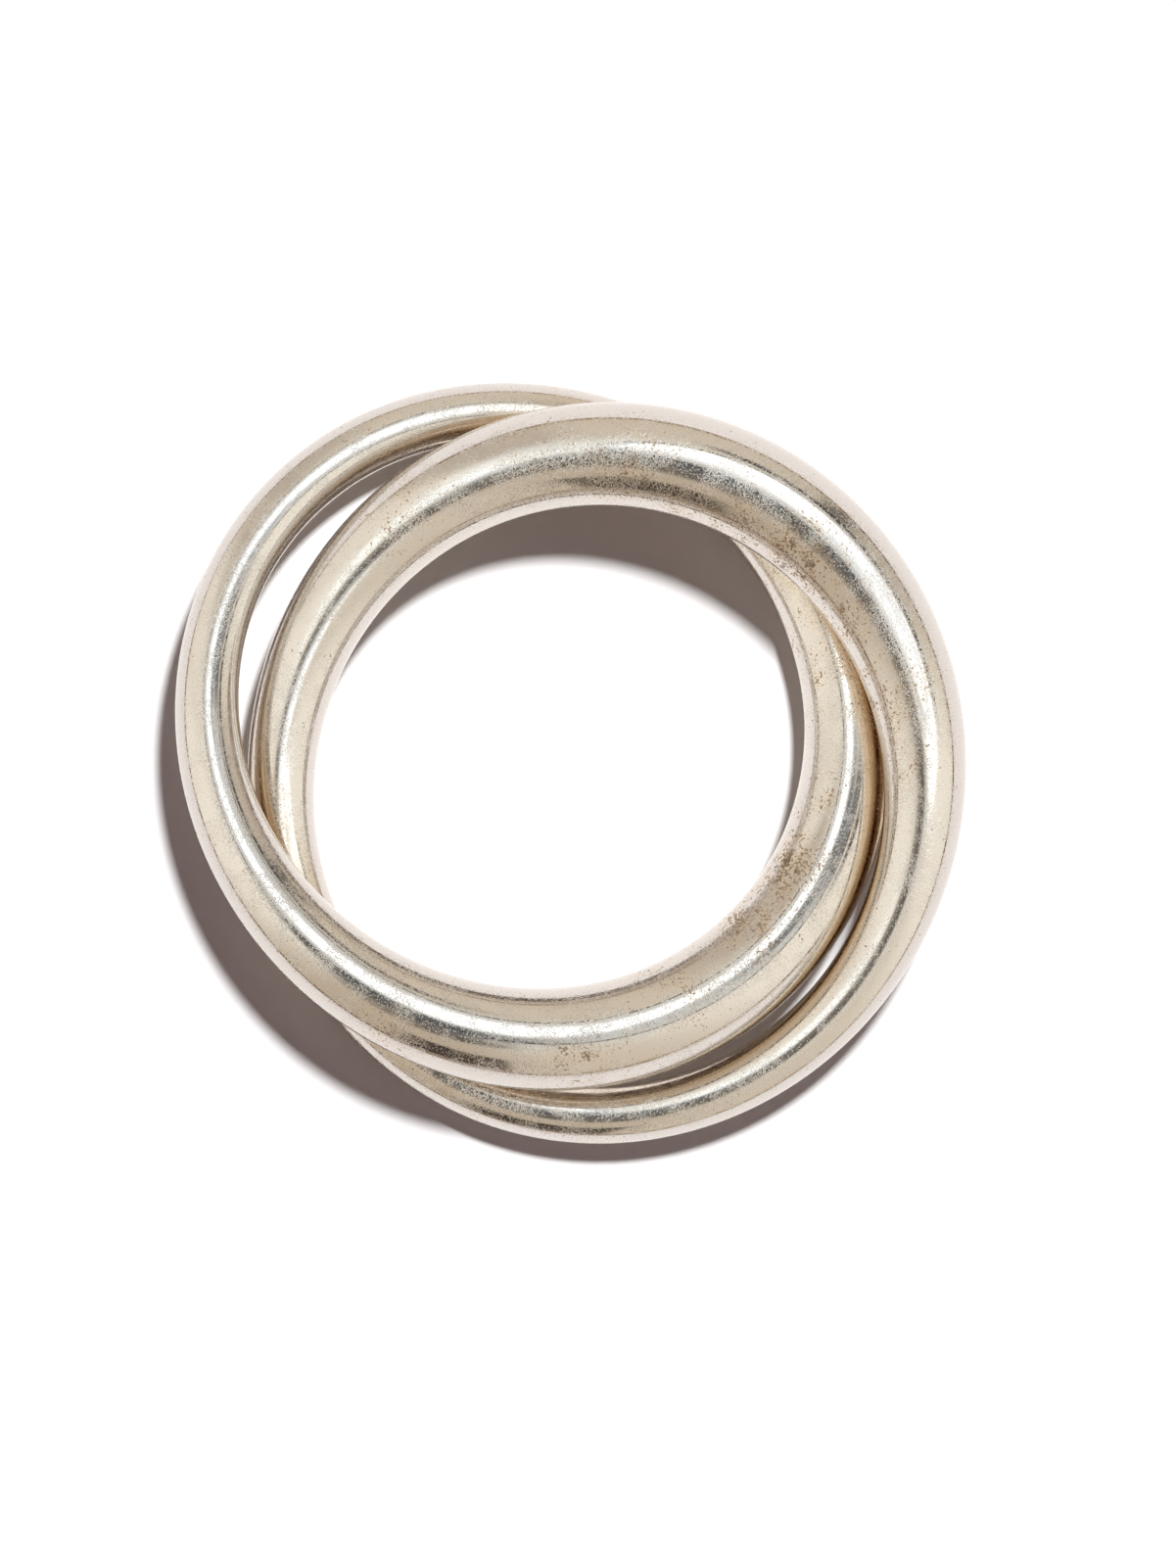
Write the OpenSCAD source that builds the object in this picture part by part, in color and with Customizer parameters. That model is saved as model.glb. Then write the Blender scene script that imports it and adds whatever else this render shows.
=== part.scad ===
// Two silver bands that pass through one another like links of a chain, lying on a flat surface.
// Each band is a closed ring of round section that swells from a thin side to a thick side.
// Azimuths are in degrees from +X toward +Y, seen from above.

/* [Bands] */
// Width of the hole of the band that lies to the right, before it is made oval
upper_hole_d = 17.6; // [17.5:0.1:17.8]
// Width of the hole of the band that lies to the left, before it is made oval
lower_hole_d = 17; // [16.9:0.1:17.1]
// Diameter of a band on its thin side
thin_d = 1.78; // [1.6:0.01:1.86]
// Diameter of a band on its thick side
thick_d = 3.2; // [3:0.05:3.3]
// How quickly a band thins away from its thick side, where 1 is an even taper
taper = 1.7; // [1.5:0.1:2]

/* [Shape of the upper band] */
// Azimuth of the thick side
upper_thick_az = 73; // [70:0.5:76]
// How much longer the longest radius is than the mean one
upper_oval = 0.11; // [0.06:0.01:0.16]
// Azimuth of the longest radius
upper_oval_az = 71; // [61:1:81]
// Azimuth toward which the band rises
upper_rise_az = 51; // [46:1:54]

/* [Shape of the lower band] */
// Azimuth of the thick side
lower_thick_az = 296; // [293:0.5:299]
// How much longer the longest radius is than the mean one
lower_oval = 0.26; // [0.2:0.01:0.3]
// Azimuth of the longest radius
lower_oval_az = 149; // [144:1:154]
// Azimuth toward which the band rises
lower_rise_az = 240; // [235:1:243]

/* [Clearances] */
// Gap between the bands at the two places where they cross
cross_gap = 0.06; // [0.04:0.01:0.1]
// Gap seen from above along the line through both centres
side_gap = 0.3; // [0.27:0.01:0.4]
// Azimuth of that line, from the lower band's centre to the upper band's
side_az = -47; // [-48:0.5:-46]

/* [Hidden] */

// Sections along a band and corners around each
rings = 96;
sides = 28;

// Azimuths where one band passes over the other, and how far to each side they are near
upper_over_az = 80;
lower_over_az = 225;
near_arc = 45;

// Rounds of tilting, after which the gaps no longer change
settle_rounds = 6;

silver = [0.82, 0.81, 0.79];
pale_silver = [0.9, 0.89, 0.87];

// Columns of a band's row
HOLE_R = 0;
THICK_AZ = 1;
OVAL = 2;
OVAL_AZ = 3;
RISE_AZ = 4;
upper_row = [upper_hole_d / 2, upper_thick_az, upper_oval, upper_oval_az, upper_rise_az];
lower_row = [lower_hole_d / 2, lower_thick_az, lower_oval, lower_oval_az, lower_rise_az];

function tube_r(row, az) =
    let (share = pow((1 + cos(az - row[THICK_AZ])) / 2, taper))
    (thin_d + (thick_d - thin_d) * share) / 2;

function oval_part(row, az) = row[OVAL] * cos(2 * (az - row[OVAL_AZ]));

// Distance from the middle of the hole to the middle of the tube
function mid_r(row, az) = row[HOLE_R] + tube_r(row, az) + oval_part(row, az);

// Middle of the tube on a band whose hole's middle is at the origin and whose plane is tilted
function mid_point(row, tilt, az) =
    let (
        along = az - row[RISE_AZ],
        uphill = [cos(tilt) * cos(row[RISE_AZ]), cos(tilt) * sin(row[RISE_AZ]), sin(tilt)],
        level = [-sin(row[RISE_AZ]), cos(row[RISE_AZ]), 0]
    )
    mid_r(row, az) * (cos(along) * uphill + sin(along) * level);

// Height of the hole's middle at which the band's lowest point touches the surface
function seat_z(row, tilt) =
    -min([for (i = [0:rings - 1])
        let (az = i * 360 / rings)
        mid_point(row, tilt, az)[2] - tube_r(row, az)]);

function placed(row, tilt, plan, az) =
    mid_point(row, tilt, az) + [plan[0], plan[1], seat_z(row, tilt)];

// The upper band's centre lies off the lower one's so that the two clear each other side by side
centre_distance =
    side_gap + lower_row[HOLE_R] + 2 * tube_r(lower_row, side_az) + oval_part(lower_row, side_az)
    - upper_row[HOLE_R] - oval_part(upper_row, side_az);
upper_plan = centre_distance * [cos(side_az), sin(side_az)];
lower_plan = [0, 0];

function near_azimuths(middle) =
    [for (i = [0:rings - 1]) let (az = i * 360 / rings) if (cos(az - middle) > cos(near_arc)) az];

// Smallest gap between the bands around one crossing
function gap_near(middle, upper_tilt, lower_tilt) =
    let (
        azimuths = near_azimuths(middle),
        upper_mids = [for (az = azimuths) placed(upper_row, upper_tilt, upper_plan, az)],
        lower_mids = [for (az = azimuths) placed(lower_row, lower_tilt, lower_plan, az)],
        upper_radii = [for (az = azimuths) tube_r(upper_row, az)],
        lower_radii = [for (az = azimuths) tube_r(lower_row, az)]
    )
    min([for (i = [0:len(azimuths) - 1], j = [0:len(azimuths) - 1])
        norm(upper_mids[i] - lower_mids[j]) - upper_radii[i] - lower_radii[j]]);

// Each band is tilted until it clears the other where it passes over it
function settled(tilts, rounds) =
    rounds == 0 ? tilts :
    let (
        upper_short = cross_gap - gap_near(upper_over_az, tilts[0], tilts[1]),
        lower_short = cross_gap - gap_near(lower_over_az, tilts[0], tilts[1]),
        upper_step = atan(upper_short / (2 * mid_r(upper_row, upper_over_az))),
        lower_step = atan(lower_short / (2 * mid_r(lower_row, lower_over_az)))
    )
    settled(tilts + [upper_step, lower_step], rounds - 1);

first_tilt = atan((thin_d + thick_d) / (upper_hole_d + lower_hole_d));
tilts = settled([first_tilt, first_tilt], settle_rounds);

// Corners of one section, in a plane across the middle line, starting at the outer side
function section(mids, radii, i) =
    let (
        ahead = mids[(i + 1) % rings] - mids[(i + rings - 1) % rings],
        forward = ahead / norm(ahead),
        outward_raw = cross(forward, [0, 0, 1]),
        outward = outward_raw / norm(outward_raw),
        upward = cross(outward, forward)
    )
    [for (j = [0:sides - 1])
        let (turn = j * 360 / sides)
        mids[i] + radii[i] * (cos(turn) * outward + sin(turn) * upward)];

function skin(row, tilt, plan) =
    let (
        azimuths = [for (i = [0:rings - 1]) i * 360 / rings],
        seat = [plan[0], plan[1], seat_z(row, tilt)],
        mids = [for (az = azimuths) mid_point(row, tilt, az) + seat],
        radii = [for (az = azimuths) tube_r(row, az)]
    )
    [for (i = [0:rings - 1]) each section(mids, radii, i)];

// Two triangles for each patch between neighbouring sections
skin_faces = [
    for (i = [0:rings - 1], j = [0:sides - 1])
        let (
            here = i * sides,
            next = (i + 1) % rings * sides,
            k = (j + 1) % sides
        )
        each [[here + j, next + k, next + j], [here + j, here + k, next + k]]
];

upper_skin = skin(upper_row, tilts[0], upper_plan);
lower_skin = skin(lower_row, tilts[1], lower_plan);

// The origin is under the middle of both bands together
all_x = [for (p = concat(upper_skin, lower_skin)) p[0]];
all_y = [for (p = concat(upper_skin, lower_skin)) p[1]];
all_z = [for (p = concat(upper_skin, lower_skin)) p[2]];
to_origin = -[(min(all_x) + max(all_x)) / 2, (min(all_y) + max(all_y)) / 2, min(all_z)];

module upper_band() {
    color(silver)
        translate(to_origin)
            polyhedron(points = upper_skin, faces = skin_faces, convexity = 4);
}

module lower_band() {
    color(pale_silver)
        translate(to_origin)
            polyhedron(points = lower_skin, faces = skin_faces, convexity = 4);
}

upper_band();
lower_band();
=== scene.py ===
import bpy
import math
from mathutils import Matrix, Vector
from mathutils.bvhtree import BVHTree


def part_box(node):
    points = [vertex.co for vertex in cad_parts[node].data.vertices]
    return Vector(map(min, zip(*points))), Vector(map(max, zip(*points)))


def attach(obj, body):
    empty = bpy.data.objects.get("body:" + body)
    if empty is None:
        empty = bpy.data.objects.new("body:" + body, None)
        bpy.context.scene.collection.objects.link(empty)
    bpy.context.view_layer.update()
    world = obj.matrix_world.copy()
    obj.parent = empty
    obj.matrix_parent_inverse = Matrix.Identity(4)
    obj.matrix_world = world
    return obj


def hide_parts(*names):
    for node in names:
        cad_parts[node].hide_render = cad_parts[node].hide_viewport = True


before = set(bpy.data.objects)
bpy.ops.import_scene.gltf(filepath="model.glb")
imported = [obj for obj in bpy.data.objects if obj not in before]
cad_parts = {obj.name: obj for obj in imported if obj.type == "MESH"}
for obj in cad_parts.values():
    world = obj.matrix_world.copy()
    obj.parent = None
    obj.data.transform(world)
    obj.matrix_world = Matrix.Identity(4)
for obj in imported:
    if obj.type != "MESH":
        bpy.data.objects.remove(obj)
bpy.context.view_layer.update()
mm = 0.001
turn = 2 * math.pi


class Wire:
    # A node socket that takes part in plain arithmetic
    def __init__(self, tree, socket=None):
        self.tree = tree
        self.socket = socket

    # Any node: its type, its settings first, then its sockets' values or wires, and the output to go on with
    def add(self, kind, settings={}, inputs={}, output=0):
        node = self.tree.nodes.new(kind)
        for name, value in settings.items():
            if name == "stops":
                ramp = node.color_ramp.elements
                while len(ramp) < len(value):
                    ramp.new(0.5)
                for stop, (place, colour) in zip(ramp, value):
                    stop.position = place
                    stop.color = (*colour, 1)
            else:
                setattr(node, name, value)
        for name, value in inputs.items():
            if isinstance(value, Wire):
                self.tree.links.new(value.socket, node.inputs[name])
            else:
                node.inputs[name].default_value = value
        return Wire(self.tree, node.outputs[output] if node.outputs else None)

    def maths(self, operation, *others):
        return self.add("ShaderNodeMath", {"operation": operation}, dict(enumerate((self, *others))))

    # The same with the other value first, for such as 1 - mask
    def reflected(self, operation, other):
        return self.add("ShaderNodeMath", {"operation": operation}, {0: other, 1: self})

    def __add__(self, other):
        return self.maths("ADD", other)

    def __radd__(self, other):
        return self.maths("ADD", other)

    def __sub__(self, other):
        return self.maths("SUBTRACT", other)

    def __rsub__(self, other):
        return self.reflected("SUBTRACT", other)

    def __mul__(self, other):
        return self.maths("MULTIPLY", other)

    def __rmul__(self, other):
        return self.maths("MULTIPLY", other)

    def __truediv__(self, other):
        return self.maths("DIVIDE", other)

    def __rtruediv__(self, other):
        return self.reflected("DIVIDE", other)

    def __pow__(self, other):
        return self.maths("POWER", other)

    def __rpow__(self, other):
        return self.reflected("POWER", other)

    def __abs__(self):
        return self.maths("ABSOLUTE")

    # 0 below low, 1 above high, smooth between them; the other way round where low is above high
    def step(self, low, high):
        ends = (0, 1) if low < high else (1, 0)
        return self.add("ShaderNodeMapRange", {"interpolation_type": "SMOOTHSTEP"},
                        {0: self, 1: min(low, high), 2: max(low, high), 3: ends[0], 4: ends[1]})

    def vector(self, operation, *others, output=0):
        return self.add("ShaderNodeVectorMath", {"operation": operation},
                        dict(enumerate((self, *others))), output)

    def scaled(self, amount):
        return self.add("ShaderNodeVectorMath", {"operation": "SCALE"}, {0: self, 3: amount})


# The greatest of several wires
def greatest(wires):
    result = wires[0]
    for wire in wires[1:]:
        result = result.maths("MAXIMUM", wire)
    return result


def blendColour(factor, first, second):
    maker = factor if isinstance(factor, Wire) else second
    first = first if isinstance(first, Wire) else (*first, 1)
    second = second if isinstance(second, Wire) else (*second, 1)
    return maker.add("ShaderNodeMix", {"data_type": "RGBA"}, {0: factor, 6: first, 7: second}, 2)


# The way toward an azimuth, and down from overhead by the polar angle, both in degrees
def direction(azimuth, polar):
    a = math.radians(azimuth)
    p = math.radians(polar)
    return Vector((math.sin(p) * math.cos(a), math.sin(p) * math.sin(a), math.cos(p)))


# What the bands have in common, in millimetres as in the source
bothBands = {
    "thinWidth": 1.78,
    "thickWidth": 3.2,
    "taper": 1.7,
    "sections": 576,
    "sides": 96,
    "waviness": 0.003,
    "swellSize": 3.5,
}

# Each band, in millimetres and degrees as in the source, whose settling gives the tilts, here rounded.
# A stain has its azimuth, its place across from the inner edge -1 to the outer 1, its reach and strength.
upperBand = {
    **bothBands,
    "node": "upper_band",
    "holeWidth": 17.6,
    "thickAzimuth": 73,
    "oval": 0.11,
    "ovalAzimuth": 71,
    "riseAzimuth": 51,
    "tilt": 8.05,
    "seed": 4.0,
    "stains": [(73, -0.62, 2.0, 0.5), (50, -0.5, 2.2, 0.95), (62, -0.75, 2.0, 0.65), (100, 0.35, 2.4, 0.3),
               (20, -0.5, 2.4, 0.5), (125, 0.4, 2.4, 0.35), (8, -0.6, 2.0, 0.4), (38, -0.7, 2.0, 0.7),
               (84, -0.35, 2.4, 0.6)],
}
lowerBand = {
    **bothBands,
    "node": "lower_band",
    "holeWidth": 17,
    "thickAzimuth": 296,
    "oval": 0.26,
    "ovalAzimuth": 149,
    "riseAzimuth": 240,
    "tilt": 7.07,
    "seed": 9.0,
    "stains": [(330, -0.55, 2.0, 0.9), (318, -0.6, 2.0, 0.85), (345, -0.5, 1.8, 0.6), (10, -0.3, 2.4, 0.5),
               (300, -0.6, 2.2, 0.5), (280, 0.5, 2.4, 0.5), (246, 0.6, 2.2, 0.4), (35, -0.3, 2.4, 0.5)],
}


# A node tree that bends a round wire into a closed band, thin on one side and thick on the other
def makeBandTree():
    tree = bpy.data.node_groups.new("taperedBand", "GeometryNodeTree")
    tree.interface.new_socket("Geometry", in_out="OUTPUT", socket_type="NodeSocketGeometry")
    for name in ("Hole Radius", "Thin Radius", "Thick Radius", "Taper", "Thick Azimuth", "Oval",
                 "Oval Azimuth", "Rise Azimuth", "Tilt", "Waviness", "Swell Rate", "Seed"):
        tree.interface.new_socket(name, in_out="INPUT", socket_type="NodeSocketFloat")
    for name in ("Sections", "Sides"):
        tree.interface.new_socket(name, in_out="INPUT", socket_type="NodeSocketInt")
    tree.interface.new_socket("Metal", in_out="INPUT", socket_type="NodeSocketMaterial")
    start = Wire(tree)
    inputNode = tree.nodes.new("NodeGroupInput")
    given = {socket.name: Wire(tree, socket) for socket in inputNode.outputs if socket.name}

    azimuth = start.add("GeometryNodeInputIndex") * turn / given["Sections"]
    share = (((azimuth - given["Thick Azimuth"]).maths("COSINE") + 1) / 2) ** given["Taper"]
    radius = given["Thin Radius"] + (given["Thick Radius"] - given["Thin Radius"]) * share
    oval = given["Oval"] * ((azimuth - given["Oval Azimuth"]) * 2).maths("COSINE")
    reach = given["Hole Radius"] + radius + oval
    uphill = reach * (azimuth - given["Rise Azimuth"]).maths("COSINE")
    level = reach * (azimuth - given["Rise Azimuth"]).maths("SINE")
    uphillPlan = uphill * given["Tilt"].maths("COSINE")
    riseCos = given["Rise Azimuth"].maths("COSINE")
    riseSin = given["Rise Azimuth"].maths("SINE")
    middle = start.add("ShaderNodeCombineXYZ", {}, {
        "X": uphillPlan * riseCos - level * riseSin,
        "Y": uphillPlan * riseSin + level * riseCos,
        "Z": uphill * given["Tilt"].maths("SINE")})

    circle = "GeometryNodeCurvePrimitiveCircle"
    loop = start.add(circle, {}, {"Resolution": given["Sections"], "Radius": 1.0})
    loop = start.add("GeometryNodeSetPosition", {}, {"Geometry": loop, "Position": middle})
    loop = start.add("GeometryNodeSetCurveNormal", {"mode": "Z_UP"}, {"Curve": loop})
    crossSection = start.add(circle, {}, {"Resolution": given["Sides"], "Radius": 1.0})
    skin = start.add("GeometryNodeCurveToMesh", {},
                     {"Curve": loop, "Profile Curve": crossSection, "Scale": radius})

    # A hand-finished surface is never quite true, which bends the reflections a little
    place = start.add("GeometryNodeInputPosition").scaled(given["Swell Rate"])
    swell = start.add("ShaderNodeTexNoise", {"noise_dimensions": "4D"},
                      {"Vector": place, "W": given["Seed"], "Scale": 1.0, "Detail": 1.0})
    offset = start.add("GeometryNodeInputNormal").scaled((swell - 0.5) * given["Waviness"])
    skin = start.add("GeometryNodeSetPosition", {}, {"Geometry": skin, "Offset": offset})
    skin = start.add("GeometryNodeSetShadeSmooth", {}, {"Geometry": skin, "Shade Smooth": True})
    skin = start.add("GeometryNodeRealizeInstances", {}, {"Geometry": skin})
    skin = start.add("GeometryNodeSetMaterial", {}, {"Geometry": skin, "Material": given["Metal"]})
    start.add("NodeGroupOutput", {}, {"Geometry": skin})
    return tree


def makeBand(band, tree):
    carrier = bpy.data.objects.new("start", bpy.data.meshes.new("start"))
    bpy.context.collection.objects.link(carrier)
    modifier = carrier.modifiers.new("band", "NODES")
    modifier.node_group = tree
    values = {
        "Hole Radius": band["holeWidth"] / 2 * mm,
        "Thin Radius": band["thinWidth"] / 2 * mm,
        "Thick Radius": band["thickWidth"] / 2 * mm,
        "Taper": band["taper"],
        "Thick Azimuth": math.radians(band["thickAzimuth"]),
        "Oval": band["oval"] * mm,
        "Oval Azimuth": math.radians(band["ovalAzimuth"]),
        "Rise Azimuth": math.radians(band["riseAzimuth"]),
        "Tilt": math.radians(band["tilt"]),
        "Waviness": band["waviness"] * mm,
        "Swell Rate": 1 / (band["swellSize"] * mm),
        "Seed": band["seed"],
        "Sections": band["sections"],
        "Sides": band["sides"],
        "Metal": bpy.data.materials.new("wornSilver." + band["node"]),
    }
    for item in tree.interface.items_tree:
        if item.in_out == "INPUT":
            modifier[item.identifier] = values[item.name]
    shaped = carrier.evaluated_get(bpy.context.evaluated_depsgraph_get())
    mesh = bpy.data.meshes.new_from_object(shaped)
    base = carrier.data
    bpy.data.objects.remove(carrier)
    bpy.data.meshes.remove(base)

    # The band goes where the CAD band is: both boxes share their middle
    low, high = (Vector(corner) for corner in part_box(band["node"]))
    corners = [vertex.co for vertex in mesh.vertices]
    meshLow = Vector([min(c[k] for c in corners) for k in range(3)])
    meshHigh = Vector([max(c[k] for c in corners) for k in range(3)])
    shift = (low + high - meshLow - meshHigh) / 2
    mesh.transform(Matrix.Translation(shift))
    name = "silverBand." + band["node"]
    mesh.name = name
    piece = bpy.data.objects.new(name, mesh)
    bpy.context.collection.objects.link(piece)
    print(name, "triangles", sum(len(p.vertices) - 2 for p in mesh.polygons),
          "box off by mm", [round(v / mm, 4) for v in (meshHigh - meshLow) - (high - low)])
    return piece, shift


# A point on the band's skin at an azimuth, across from the inner edge -1 to the outer 1
def onBand(band, shift, azimuth, across):
    share = ((1 + math.cos(math.radians(azimuth - band["thickAzimuth"]))) / 2) ** band["taper"]
    radius = (band["thinWidth"] + (band["thickWidth"] - band["thinWidth"]) * share) / 2
    oval = band["oval"] * math.cos(math.radians(2 * (azimuth - band["ovalAzimuth"])))
    reach = band["holeWidth"] / 2 + radius * (1 + across) + oval
    along = math.radians(azimuth - band["riseAzimuth"])
    rise = math.radians(band["riseAzimuth"])
    tilt = math.radians(band["tilt"])
    uphill = reach * math.cos(along)
    level = reach * math.sin(along)
    lift = radius * math.sqrt(max(0, 1 - across * across))
    return Vector((uphill * math.cos(tilt) * math.cos(rise) - level * math.sin(rise),
                   uphill * math.cos(tilt) * math.sin(rise) + level * math.cos(rise),
                   uphill * math.sin(tilt) + lift)) * mm + shift


silverLook = {
    "silver": (0.74, 0.69, 0.635),
    "tarnishAndPaintedBounce": (0.77, 0.61, 0.43),  # golden tint: tarnish in the stains, and painted warm bounce light where the bands lie close
    "paintedCreviceShade": (0.46, 0.29, 0.14),  # painted brown shade where the bands almost touch
    "speck": (0.25, 0.155, 0.08),
    "blotch": (0.19, 0.12, 0.065),
    "cover": 0.85,  # how fully specks and blotches hide the silver
    "filmInStains": 0.5,  # how golden the stained places are
    "tarnishAndBounceLimit": 0.92,
    # Roughness of the mirror-like part, what tarnish and nearness add to it, and that of the fine scratches
    "polished": 0.05,
    "tarnishRoughness": 0.25,
    "nearRoughness": 0.1,
    "worn": 0.32,
    # How much of the surface the fine scratches veil, and how the grain and the mottling vary that
    "wornShare": 0.06,
    "wornByGrain": 1.1,
    "wornByMottling": 0.15,
    "wornLimits": (0.02, 0.6),
    "tarnishDullness": 0.4,  # how much of its metallic look tarnish takes away
    # Millimetres
    "grainSize": 0.055,
    "pitDepth": 0.003,
    "scratchDepth": 0.0016,
    "mottlingHeight": 0.0004,
    "tarnishDepth": 0.001,
    "nearReach": 1.1,
    "nearFade": 1.2,  # above 1, nearness fades faster at first
    # Repeats in each millimetre
    "mottling": 1.1,
    "clusters": 1.7,
    "blotches": 3.2,
    "hairlines": 5.0,
    "specks": 12.0,
    # The part of a pattern at which each mark begins, and at which it is full
    "pitEdge": (0.56, 0.72),
    "speckEdge": (0.69, 0.76),
    "blotchEdge": (0.70, 0.76),
    "filmEdge": (0.35, 0.65),
    # How much more likely specks and blotches are in stained places, and in clusters
    "specksInStains": 0.2,
    "specksInClusters": 0.4,
    "blotchesInStains": 0.16,
    "blotchesInClusters": 0.2,
    # The ways that hairline scratches run, how drawn out they are, and how wide
    "hairlineTurns": ((0.3, 1.1, 0.2), (1.4, 0.2, 2.1), (2.2, 2.6, 0.9), (0.9, 0.5, 1.5)),
    "hairlineStretch": (1.0, 1.0, 0.05),
    "hairlineWidth": 0.02,
}


def makeSilver(material, seed, stains):
    look = silverLook
    material.use_nodes = True
    tree = material.node_tree
    tree.nodes.clear()
    start = Wire(tree)
    place = start.add("ShaderNodeTexCoord", {}, {}, "Object").scaled(1 / mm)

    def noise(scale, detail, offset, where=place, rough=0.5):
        return start.add("ShaderNodeTexNoise", {"noise_dimensions": "4D"}, {
            "Vector": where, "W": seed + offset, "Scale": scale, "Detail": detail, "Roughness": rough})

    # Fine pits left by wear, and hairline scratches in several directions, weaker where the mottling is low
    grain = noise(1 / look["grainSize"], detail=1.0, offset=1.0)
    mottling = noise(look["mottling"], detail=3.0, offset=2.0)
    pits = grain.step(*look["pitEdge"]) * (mottling.step(0.3, 0.7) * 0.5 + 0.7)
    lines = []
    for number, angles in enumerate(look["hairlineTurns"]):
        turned = place.add("ShaderNodeMapping", {}, {
            "Vector": place, "Rotation": angles, "Scale": look["hairlineStretch"]})
        waves = noise(look["hairlines"] + number, detail=0.0, offset=10.0 + number, where=turned)
        lines.append(abs(waves - 0.5).step(look["hairlineWidth"], 0.0))
    scratches = greatest(lines) * mottling.step(0.4, 0.6)

    # Brown specks, thickest in the stained places, golden tarnish in the stains, and painted warm bounce
    # light and painted shade where the bands lie close
    spots = []
    for centre, reach, strength in stains:
        away = place.vector("DISTANCE", tuple(centre / mm), output=1)
        spots.append(away.step(reach, reach * 0.1) * strength)
    stained = greatest(spots)
    clusters = noise(look["clusters"], detail=2.0, offset=6.0) - 0.5
    specks = noise(look["specks"], detail=1.5, offset=5.0)
    specks = specks + stained * look["specksInStains"] + clusters * look["specksInClusters"]
    specks = specks.step(*look["speckEdge"])
    blotches = noise(look["blotches"], detail=3.0, offset=7.0, rough=0.7)
    blotches = blotches + stained * look["blotchesInStains"] + clusters * look["blotchesInClusters"]
    blotches = blotches.step(*look["blotchEdge"]) * stained
    tarnish = specks.maths("MAXIMUM", blotches)
    nearness = start.add("ShaderNodeAttribute", {"attribute_name": "nearness"}, {}, "Fac")
    tarnishAndPaintedBounce = stained * (clusters + 0.5).step(*look["filmEdge"]) * look["filmInStains"]
    # Where the bands lie close, the nearness adds painted warm bounce light to the golden tint, not tarnish
    tarnishAndPaintedBounce = (tarnishAndPaintedBounce + nearness * (mottling * 0.7 + 0.5)).maths("MINIMUM", look["tarnishAndBounceLimit"])

    colour = blendColour(tarnishAndPaintedBounce, look["silver"], look["tarnishAndPaintedBounce"])
    # Painted shade: deep brown where the bands almost touch
    colour = blendColour(nearness.step(0.6, 0.95), colour, look["paintedCreviceShade"])
    colour = blendColour(specks * look["cover"], colour, look["speck"])
    colour = blendColour(blotches * look["cover"], colour, look["blotch"])
    height = scratches * -look["scratchDepth"] + mottling * look["mottlingHeight"]
    height = height - tarnish * look["tarnishDepth"]

    def metal(roughness, surface):
        bump = start.add("ShaderNodeBump", {}, {"Strength": 1.0, "Distance": mm, "Height": surface})
        return start.add("ShaderNodeBsdfPrincipled", {}, {
            "Base Color": colour, "Metallic": 1.0 - tarnish * look["tarnishDullness"],
            "Roughness": roughness, "Normal": bump})

    roughness = look["polished"] + tarnish * look["tarnishRoughness"] + nearness * look["nearRoughness"]
    polished = metal(roughness, height - pits * look["pitDepth"])
    worn = metal(look["worn"], height + grain * look["pitDepth"])
    share = look["wornShare"] + (grain - 0.5) * look["wornByGrain"]
    share = share + (mottling - 0.5) * look["wornByMottling"]
    fewest, most = look["wornLimits"]
    share = share.maths("MAXIMUM", fewest).maths("MINIMUM", most)
    shader = start.add("ShaderNodeMixShader", {}, {0: share, 1: polished, 2: worn})
    start.add("ShaderNodeOutputMaterial", {}, {"Surface": shader})


# How near each point lies to the other band: 1 where they almost touch, 0 beyond a millimetre or so
def markNearness(piece, other):
    points = [vertex.co for vertex in other.data.vertices]
    faces = [tuple(polygon.vertices) for polygon in other.data.polygons]
    tree = BVHTree.FromPolygons(points, faces)
    reach = silverLook["nearReach"] * mm
    values = []
    for vertex in piece.data.vertices:
        found = tree.find_nearest(vertex.co, reach)
        share = 0 if found[0] is None else 1 - found[3] / reach
        values.append(share ** silverLook["nearFade"])
    piece.data.attributes.new("nearness", "FLOAT", "POINT").data.foreach_set("value", values)


print("bands")
bandTree = makeBandTree()
placed = {band["node"]: (band, *makeBand(band, bandTree)) for band in (upperBand, lowerBand)}
upperPiece = placed["upper_band"][1]
lowerPiece = placed["lower_band"][1]
markNearness(upperPiece, lowerPiece)
markNearness(lowerPiece, upperPiece)
print("silver")
for band, piece, shift in placed.values():
    stains = [(onBand(band, shift, azimuth, across), reach, strength)
              for azimuth, across, reach, strength in band["stains"]]
    makeSilver(piece.data.materials[0], band["seed"], stains)
    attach(piece, "root")
    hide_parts(band["node"])

floorLook = {
    "colour": (0.90, 0.86, 0.83),
    "roughness": 0.9,
    "half": 1.5,  # metres
}


def makeFloor():
    half = floorLook["half"]
    corners = [(-half, -half, 0), (half, -half, 0), (half, half, 0), (-half, half, 0)]
    mesh = bpy.data.meshes.new("floor")
    mesh.from_pydata(corners, [], [(0, 1, 2, 3)])
    floor = bpy.data.objects.new("floor", mesh)
    bpy.context.collection.objects.link(floor)
    material = bpy.data.materials.new("paleFloor")
    material.use_nodes = True
    shader = material.node_tree.nodes["Principled BSDF"]
    shader.inputs["Base Color"].default_value = (*floorLook["colour"], 1)
    shader.inputs["Roughness"].default_value = floorLook["roughness"]
    shader.inputs["Specular IOR Level"].default_value = 0.0
    mesh.materials.append(material)


# The walls' colours from overhead, 0, down to the horizon, 1, what the camera sees past the floor, and the
# light that the room throws on the floor
roomLook = {
    "walls": [(0.0, (0.84, 0.86, 0.85)), (0.30, (0.87, 0.83, 0.75)), (0.45, (0.82, 0.755, 0.65)),
              (0.86, (0.79, 0.715, 0.60)), (1.0, (0.70, 0.61, 0.48))],
    "seen": (0.93, 0.92, 0.92),
    "shadowLight": (0.099, 0.068, 0.077),
}

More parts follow.
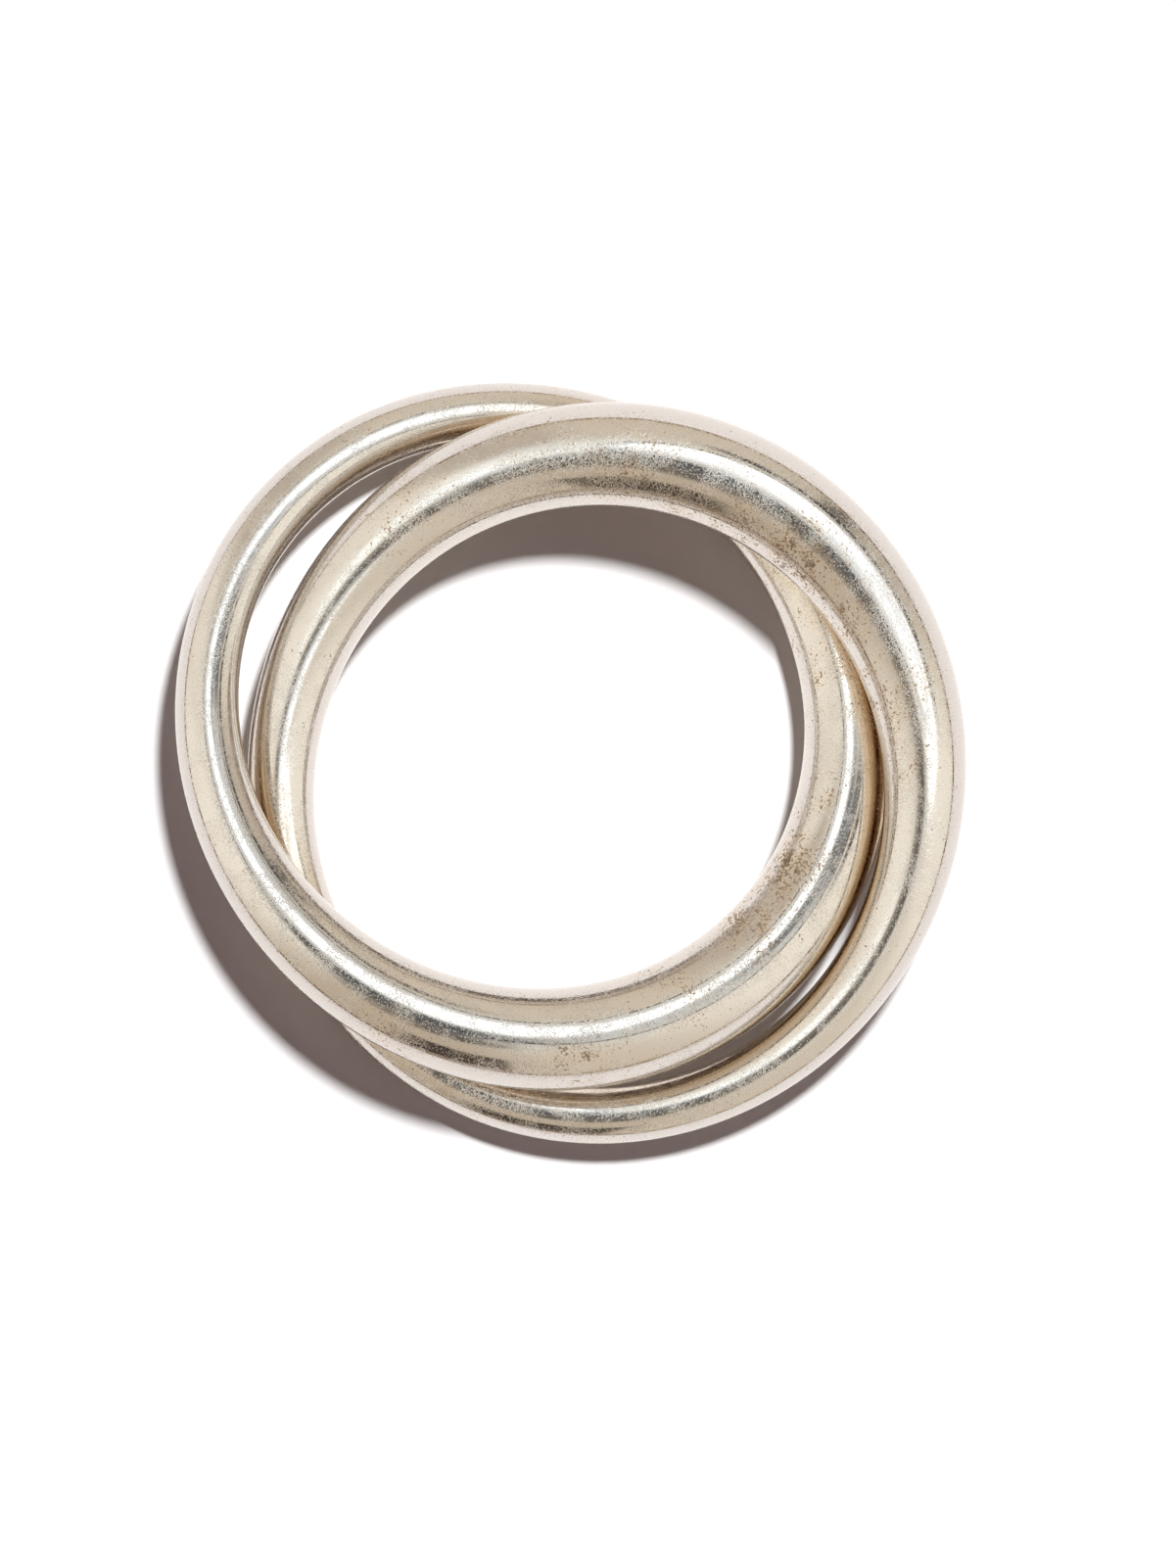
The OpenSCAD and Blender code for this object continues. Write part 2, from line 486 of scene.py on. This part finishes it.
# What stands in front of the walls, seen only in the silver. Each has sides: the azimuth, the degrees from it
# at which the thing is gone and at which it is full, and its strength there. A rise gives the degrees from
# overhead at which it is gone and at which it is full.
roomThings = (
    # Pale walls on two sides
    {"colour": (1.16, 1.13, 1.04), "strength": 0.9,
     "sides": ((338, 44, 10, 1), (185, 38, 8, 1), (150, 24, 6, 0.7)), "rises": ((8, 24),)},
    # Dimmer walls between them, one of which goes up to overhead
    {"colour": (0.59, 0.525, 0.45), "strength": 0.8, "sides": ((124, 22, 8, 1),), "rises": ((24, 38),)},
    {"colour": (0.59, 0.525, 0.45), "strength": 0.8, "sides": ((32, 20, 8, 0.7),), "rises": ()},
    # A brown wall
    {"colour": (0.62, 0.53, 0.42), "strength": 0.9, "sides": ((242, 34, 14, 1),), "rises": ((14, 26),)},
    # The dark line where walls and floor meet, which is there elsewhere too, but fainter
    {"colour": (0.20, 0.11, 0.055), "strength": 1, "sides": ((8, 60, 35, 0.4), (205, 60, 30, 0.4)),
     "elsewhere": 0.6, "rises": ((83, 84.5), (89.5, 88))},
    # Two dark upright shapes, the first nearly black
    {"colour": (0.04, 0.03, 0.025), "strength": 0.95, "sides": ((254, 13, 9, 1),),
     "rises": ((51, 56), (85, 80))},
    {"colour": (0.12, 0.12, 0.11), "strength": 0.85, "sides": ((45, 6, 3, 1),),
     "rises": ((50, 55), (84, 80))},
)

# The softbox. Its frame and the flag outside it are placed in degrees past its edge, gone and full, and the
# dark wedge inside by azimuth, polar angle, and the degrees from there at which it is gone and full.
softboxLook = {
    "azimuth": 43,
    "polar": 20.5,
    "reach": 25,  # degrees from its middle to its edge
    "colour": (0.81, 0.84, 0.84),
    "frameColour": (0.13, 0.13, 0.12),
    "frameEdge": (2.5, 1.5),
    "flagColour": (0.07, 0.07, 0.075),
    "flagStrength": 0.95,
    "flagEdges": ((6, 8), (16, 13)),
    "flagSide": (35, 48, 34),
    "wedgeColour": (0.17, 0.18, 0.19),
    "wedgeStrength": 0.9,
    "wedges": ((24, 22, 10, 5), (14, 35, 10, 5)),
}

# Dark spots near overhead, such as the camera: azimuth, polar angle, gone and full, strength, colour
darkSpots = (
    (240, 22, 14, 7, 0.8, (0.22, 0.21, 0.19)),
    (250, 23, 9, 4, 0.75, (0.10, 0.095, 0.085)),
    (213, 8, 14, 7.5, 0.92, (0.09, 0.095, 0.10)),
)


def makeRoom():
    world = bpy.data.worlds.new("room")
    bpy.context.scene.world = world
    world.use_nodes = True
    tree = world.node_tree
    tree.nodes.clear()
    start = Wire(tree)
    ray = start.add("ShaderNodeTexCoord", {}, {}, "Generated").vector("NORMALIZE")
    degrees = 180 / math.pi

    def angleFrom(azimuth, polar):
        toward = tuple(direction(azimuth, polar))
        return ray.vector("DOT_PRODUCT", toward, output=1).maths("ARCCOSINE") * degrees

    polar = angleFrom(0, 0)
    axes = {name: start.add("ShaderNodeSeparateXYZ", {}, {0: ray}, name) for name in "XY"}
    azimuth = axes["Y"].maths("ARCTAN2", axes["X"]) * degrees

    # Degrees round from a given azimuth, whichever way is shorter
    def aroundFrom(middle):
        return abs(((azimuth - middle + 540) / 360).maths("FRACT") * 360 - 180)

    colour = start.add("ShaderNodeValToRGB", {"stops": roomLook["walls"]}, {0: polar / 90})
    for thing in roomThings:
        share = greatest([aroundFrom(middle).step(gone, full) * strength
                          for middle, gone, full, strength in thing["sides"]])
        if "elsewhere" in thing:
            share = share + thing["elsewhere"]
        for gone, full in thing["rises"]:
            share = share * polar.step(gone, full)
        colour = blendColour(share * thing["strength"], colour, thing["colour"])

    look = softboxLook
    softbox = angleFrom(look["azimuth"], look["polar"]) - look["reach"]
    middle, gone, full = look["flagSide"]
    flag = aroundFrom(middle).step(gone, full) * look["flagStrength"]
    for gone, full in look["flagEdges"]:
        flag = flag * softbox.step(gone, full)
    colour = blendColour(flag, colour, look["flagColour"])
    colour = blendColour(softbox.step(*look["frameEdge"]), colour, look["frameColour"])
    wedge = greatest([angleFrom(*toward).step(gone, full) for *toward, gone, full in look["wedges"]])
    inside = blendColour(wedge * look["wedgeStrength"], look["colour"], look["wedgeColour"])
    colour = blendColour(softbox.step(0, -1), colour, inside)
    for *toward, gone, full, strength, dark in darkSpots:
        colour = blendColour(angleFrom(*toward).step(gone, full) * strength, colour, dark)

    seen = start.add("ShaderNodeLightPath", {}, {}, "Is Camera Ray")
    soft = start.add("ShaderNodeLightPath", {}, {}, "Is Diffuse Ray")
    colour = blendColour(seen, colour, roomLook["seen"])
    colour = blendColour(soft, colour, roomLook["shadowLight"])
    background = start.add("ShaderNodeBackground", {}, {"Color": colour})
    start.add("ShaderNodeOutputWorld", {}, {"Surface": background})


# The key light shines on the floor but isn't mirrored. Angles are in degrees, wide as seen from the ring.
keyLook = {
    "azimuth": 62.8,
    "polar": 26,
    "wide": 6.2,
    "distance": 1.6,  # metres
    "light": 3.9,  # light on the floor, where 3.14 makes a white floor white
    "colour": (0.95, 1.0, 1.04),  # with the floor's own colour it gives a neutral white
}

# Soft cards, each of which lights one band: their direction, degrees wide and long, brightness, the share of
# the reach that is fully bright, their colour, and how far off they stand. The large one has a notch for the
# camera: its place, and how far from there the card is dark and bright again. Two small ones hang close over
# an azimuth of their band, and shine only within their spread.
whiteLight = (0.91, 1.0, 1.09)
coolLight = (0.75, 1.0, 1.22)
cards = (
    {"node": "upper_band", "azimuth": 30.5, "polar": 19.7, "wide": 61, "long": 61, "glow": 1.15,
     "core": 0.85, "colour": whiteLight, "distance": 0.8, "notch": (0.68, 0.34, 0.78)},
    {"node": "upper_band", "azimuth": 134, "polar": 27, "wide": 46, "long": 42, "glow": 0.28,
     "core": 0.3, "colour": coolLight, "distance": 0.8},
    {"node": "lower_band", "azimuth": 70, "polar": 19.5, "wide": 19, "long": 36, "glow": 1.3,
     "core": 0.4, "colour": whiteLight, "distance": 0.8},
    {"node": "upper_band", "azimuth": 178, "polar": 25, "wide": 30, "long": 30, "glow": 0.42,
     "core": 0.3, "colour": coolLight, "distance": 0.8},
    {"node": "upper_band", "azimuth": 270, "polar": 12.6, "wide": 30, "long": 34, "glow": 1.5,
     "core": 0.3, "colour": whiteLight, "distance": 0.018, "over": 182, "spread": 60},
    {"node": "lower_band", "azimuth": 37, "polar": 13, "wide": 30, "long": 38, "glow": 1.2,
     "core": 0.3, "colour": whiteLight, "distance": 0.018, "over": 127, "spread": 60},
)


# A lamp that faces a place from a given direction, unseen by the camera
def makeLamp(name, azimuth, polar, wide, long, radiance, distance, colour, facing=Vector()):
    lamp = bpy.data.lights.new(name, "AREA")
    lamp.shape = "ELLIPSE"
    lamp.size = 2 * distance * math.tan(math.radians(wide / 2))
    lamp.size_y = 2 * distance * math.tan(math.radians(long / 2))
    area = math.pi / 4 * lamp.size * lamp.size_y
    lamp.energy = math.pi * area * radiance
    lamp.color = colour
    light = bpy.data.objects.new(name, lamp)
    bpy.context.collection.objects.link(light)
    toward = direction(azimuth, polar)
    aside = Vector((0, 0, 1)).cross(toward).normalized()
    light.matrix_world = Matrix((aside, toward.cross(aside), toward)).transposed().to_4x4()
    light.location = facing + toward * distance
    light.visible_camera = False
    return light


# A card fades toward its edge, and its notch lies on the side that is nearer overhead
def softenCard(lamp, card):
    lamp.use_nodes = True
    place = Wire(lamp.node_tree).add("ShaderNodeNewGeometry", {}, {}, "Parametric")
    place = place.vector("SUBTRACT", (0.5, 0.5, 0.0)).scaled(2.0)
    glow = place.vector("LENGTH", output=1).step(1.0, card["core"])
    if "notch" in card:
        middle, dark, bright = card["notch"]
        glow = glow * place.vector("DISTANCE", (0.0, middle, 0.0), output=1).step(dark, bright)
    lamp.node_tree.links.new(glow.socket, lamp.node_tree.nodes["Emission"].inputs["Strength"])


def makeLights():
    # The light on the floor is the lamp's radiance times the solid angle that it fills
    solidAngle = math.pi * (math.radians(keyLook["wide"]) / 2) ** 2
    key = makeLamp("key", keyLook["azimuth"], keyLook["polar"], keyLook["wide"], keyLook["wide"],
                   keyLook["light"] / solidAngle, keyLook["distance"], keyLook["colour"])
    key.visible_glossy = False
    lit = {}
    for node, (band, piece, shift) in placed.items():
        lit[node] = bpy.data.collections.new("lit." + node)
        lit[node].objects.link(piece)
    for card in cards:
        band, piece, shift = placed[card["node"]]
        facing = onBand(band, shift, card["over"], 0) if "over" in card else Vector()
        light = makeLamp("card", card["azimuth"], card["polar"], card["wide"], card["long"], card["glow"],
                         card["distance"], card["colour"], facing)
        softenCard(light.data, card)
        if "spread" in card:
            # A narrow spread gathers the lamp's light, so the lamp is turned down to match
            half = math.radians(card["spread"] / 2)
            light.data.spread = 2 * half
            light.data.energy *= 1 - half / math.tan(half)
        light.light_linking.receiver_collection = lit[card["node"]]


# The camera looks straight down, and its picture shows what the photograph does
cameraLook = {
    "height": 390,  # millimetres, as is its place over the floor
    "place": (0.522, -0.63),
    "sensor": 36,
    "photoHeight": 1601,  # pixels
    "pixels": 33.333,  # for each millimetre in the photograph
}


def makeCamera():
    camera = bpy.data.cameras.new("camera")
    camera.sensor_width = cameraLook["sensor"]
    height = cameraLook["height"] * mm
    seenHeight = cameraLook["photoHeight"] / cameraLook["pixels"] * mm
    camera.lens = camera.sensor_width * height / seenHeight
    camera.clip_start = 0.01
    view = bpy.data.objects.new("camera", camera)
    bpy.context.collection.objects.link(view)
    view.location = (cameraLook["place"][0] * mm, cameraLook["place"][1] * mm, height)
    bpy.context.scene.camera = view


print("studio")
makeFloor()
makeRoom()
makeLights()
makeCamera()
settings = bpy.context.scene.view_settings
settings.view_transform = "Standard"
settings.look = "None"
settings.exposure = 0.0
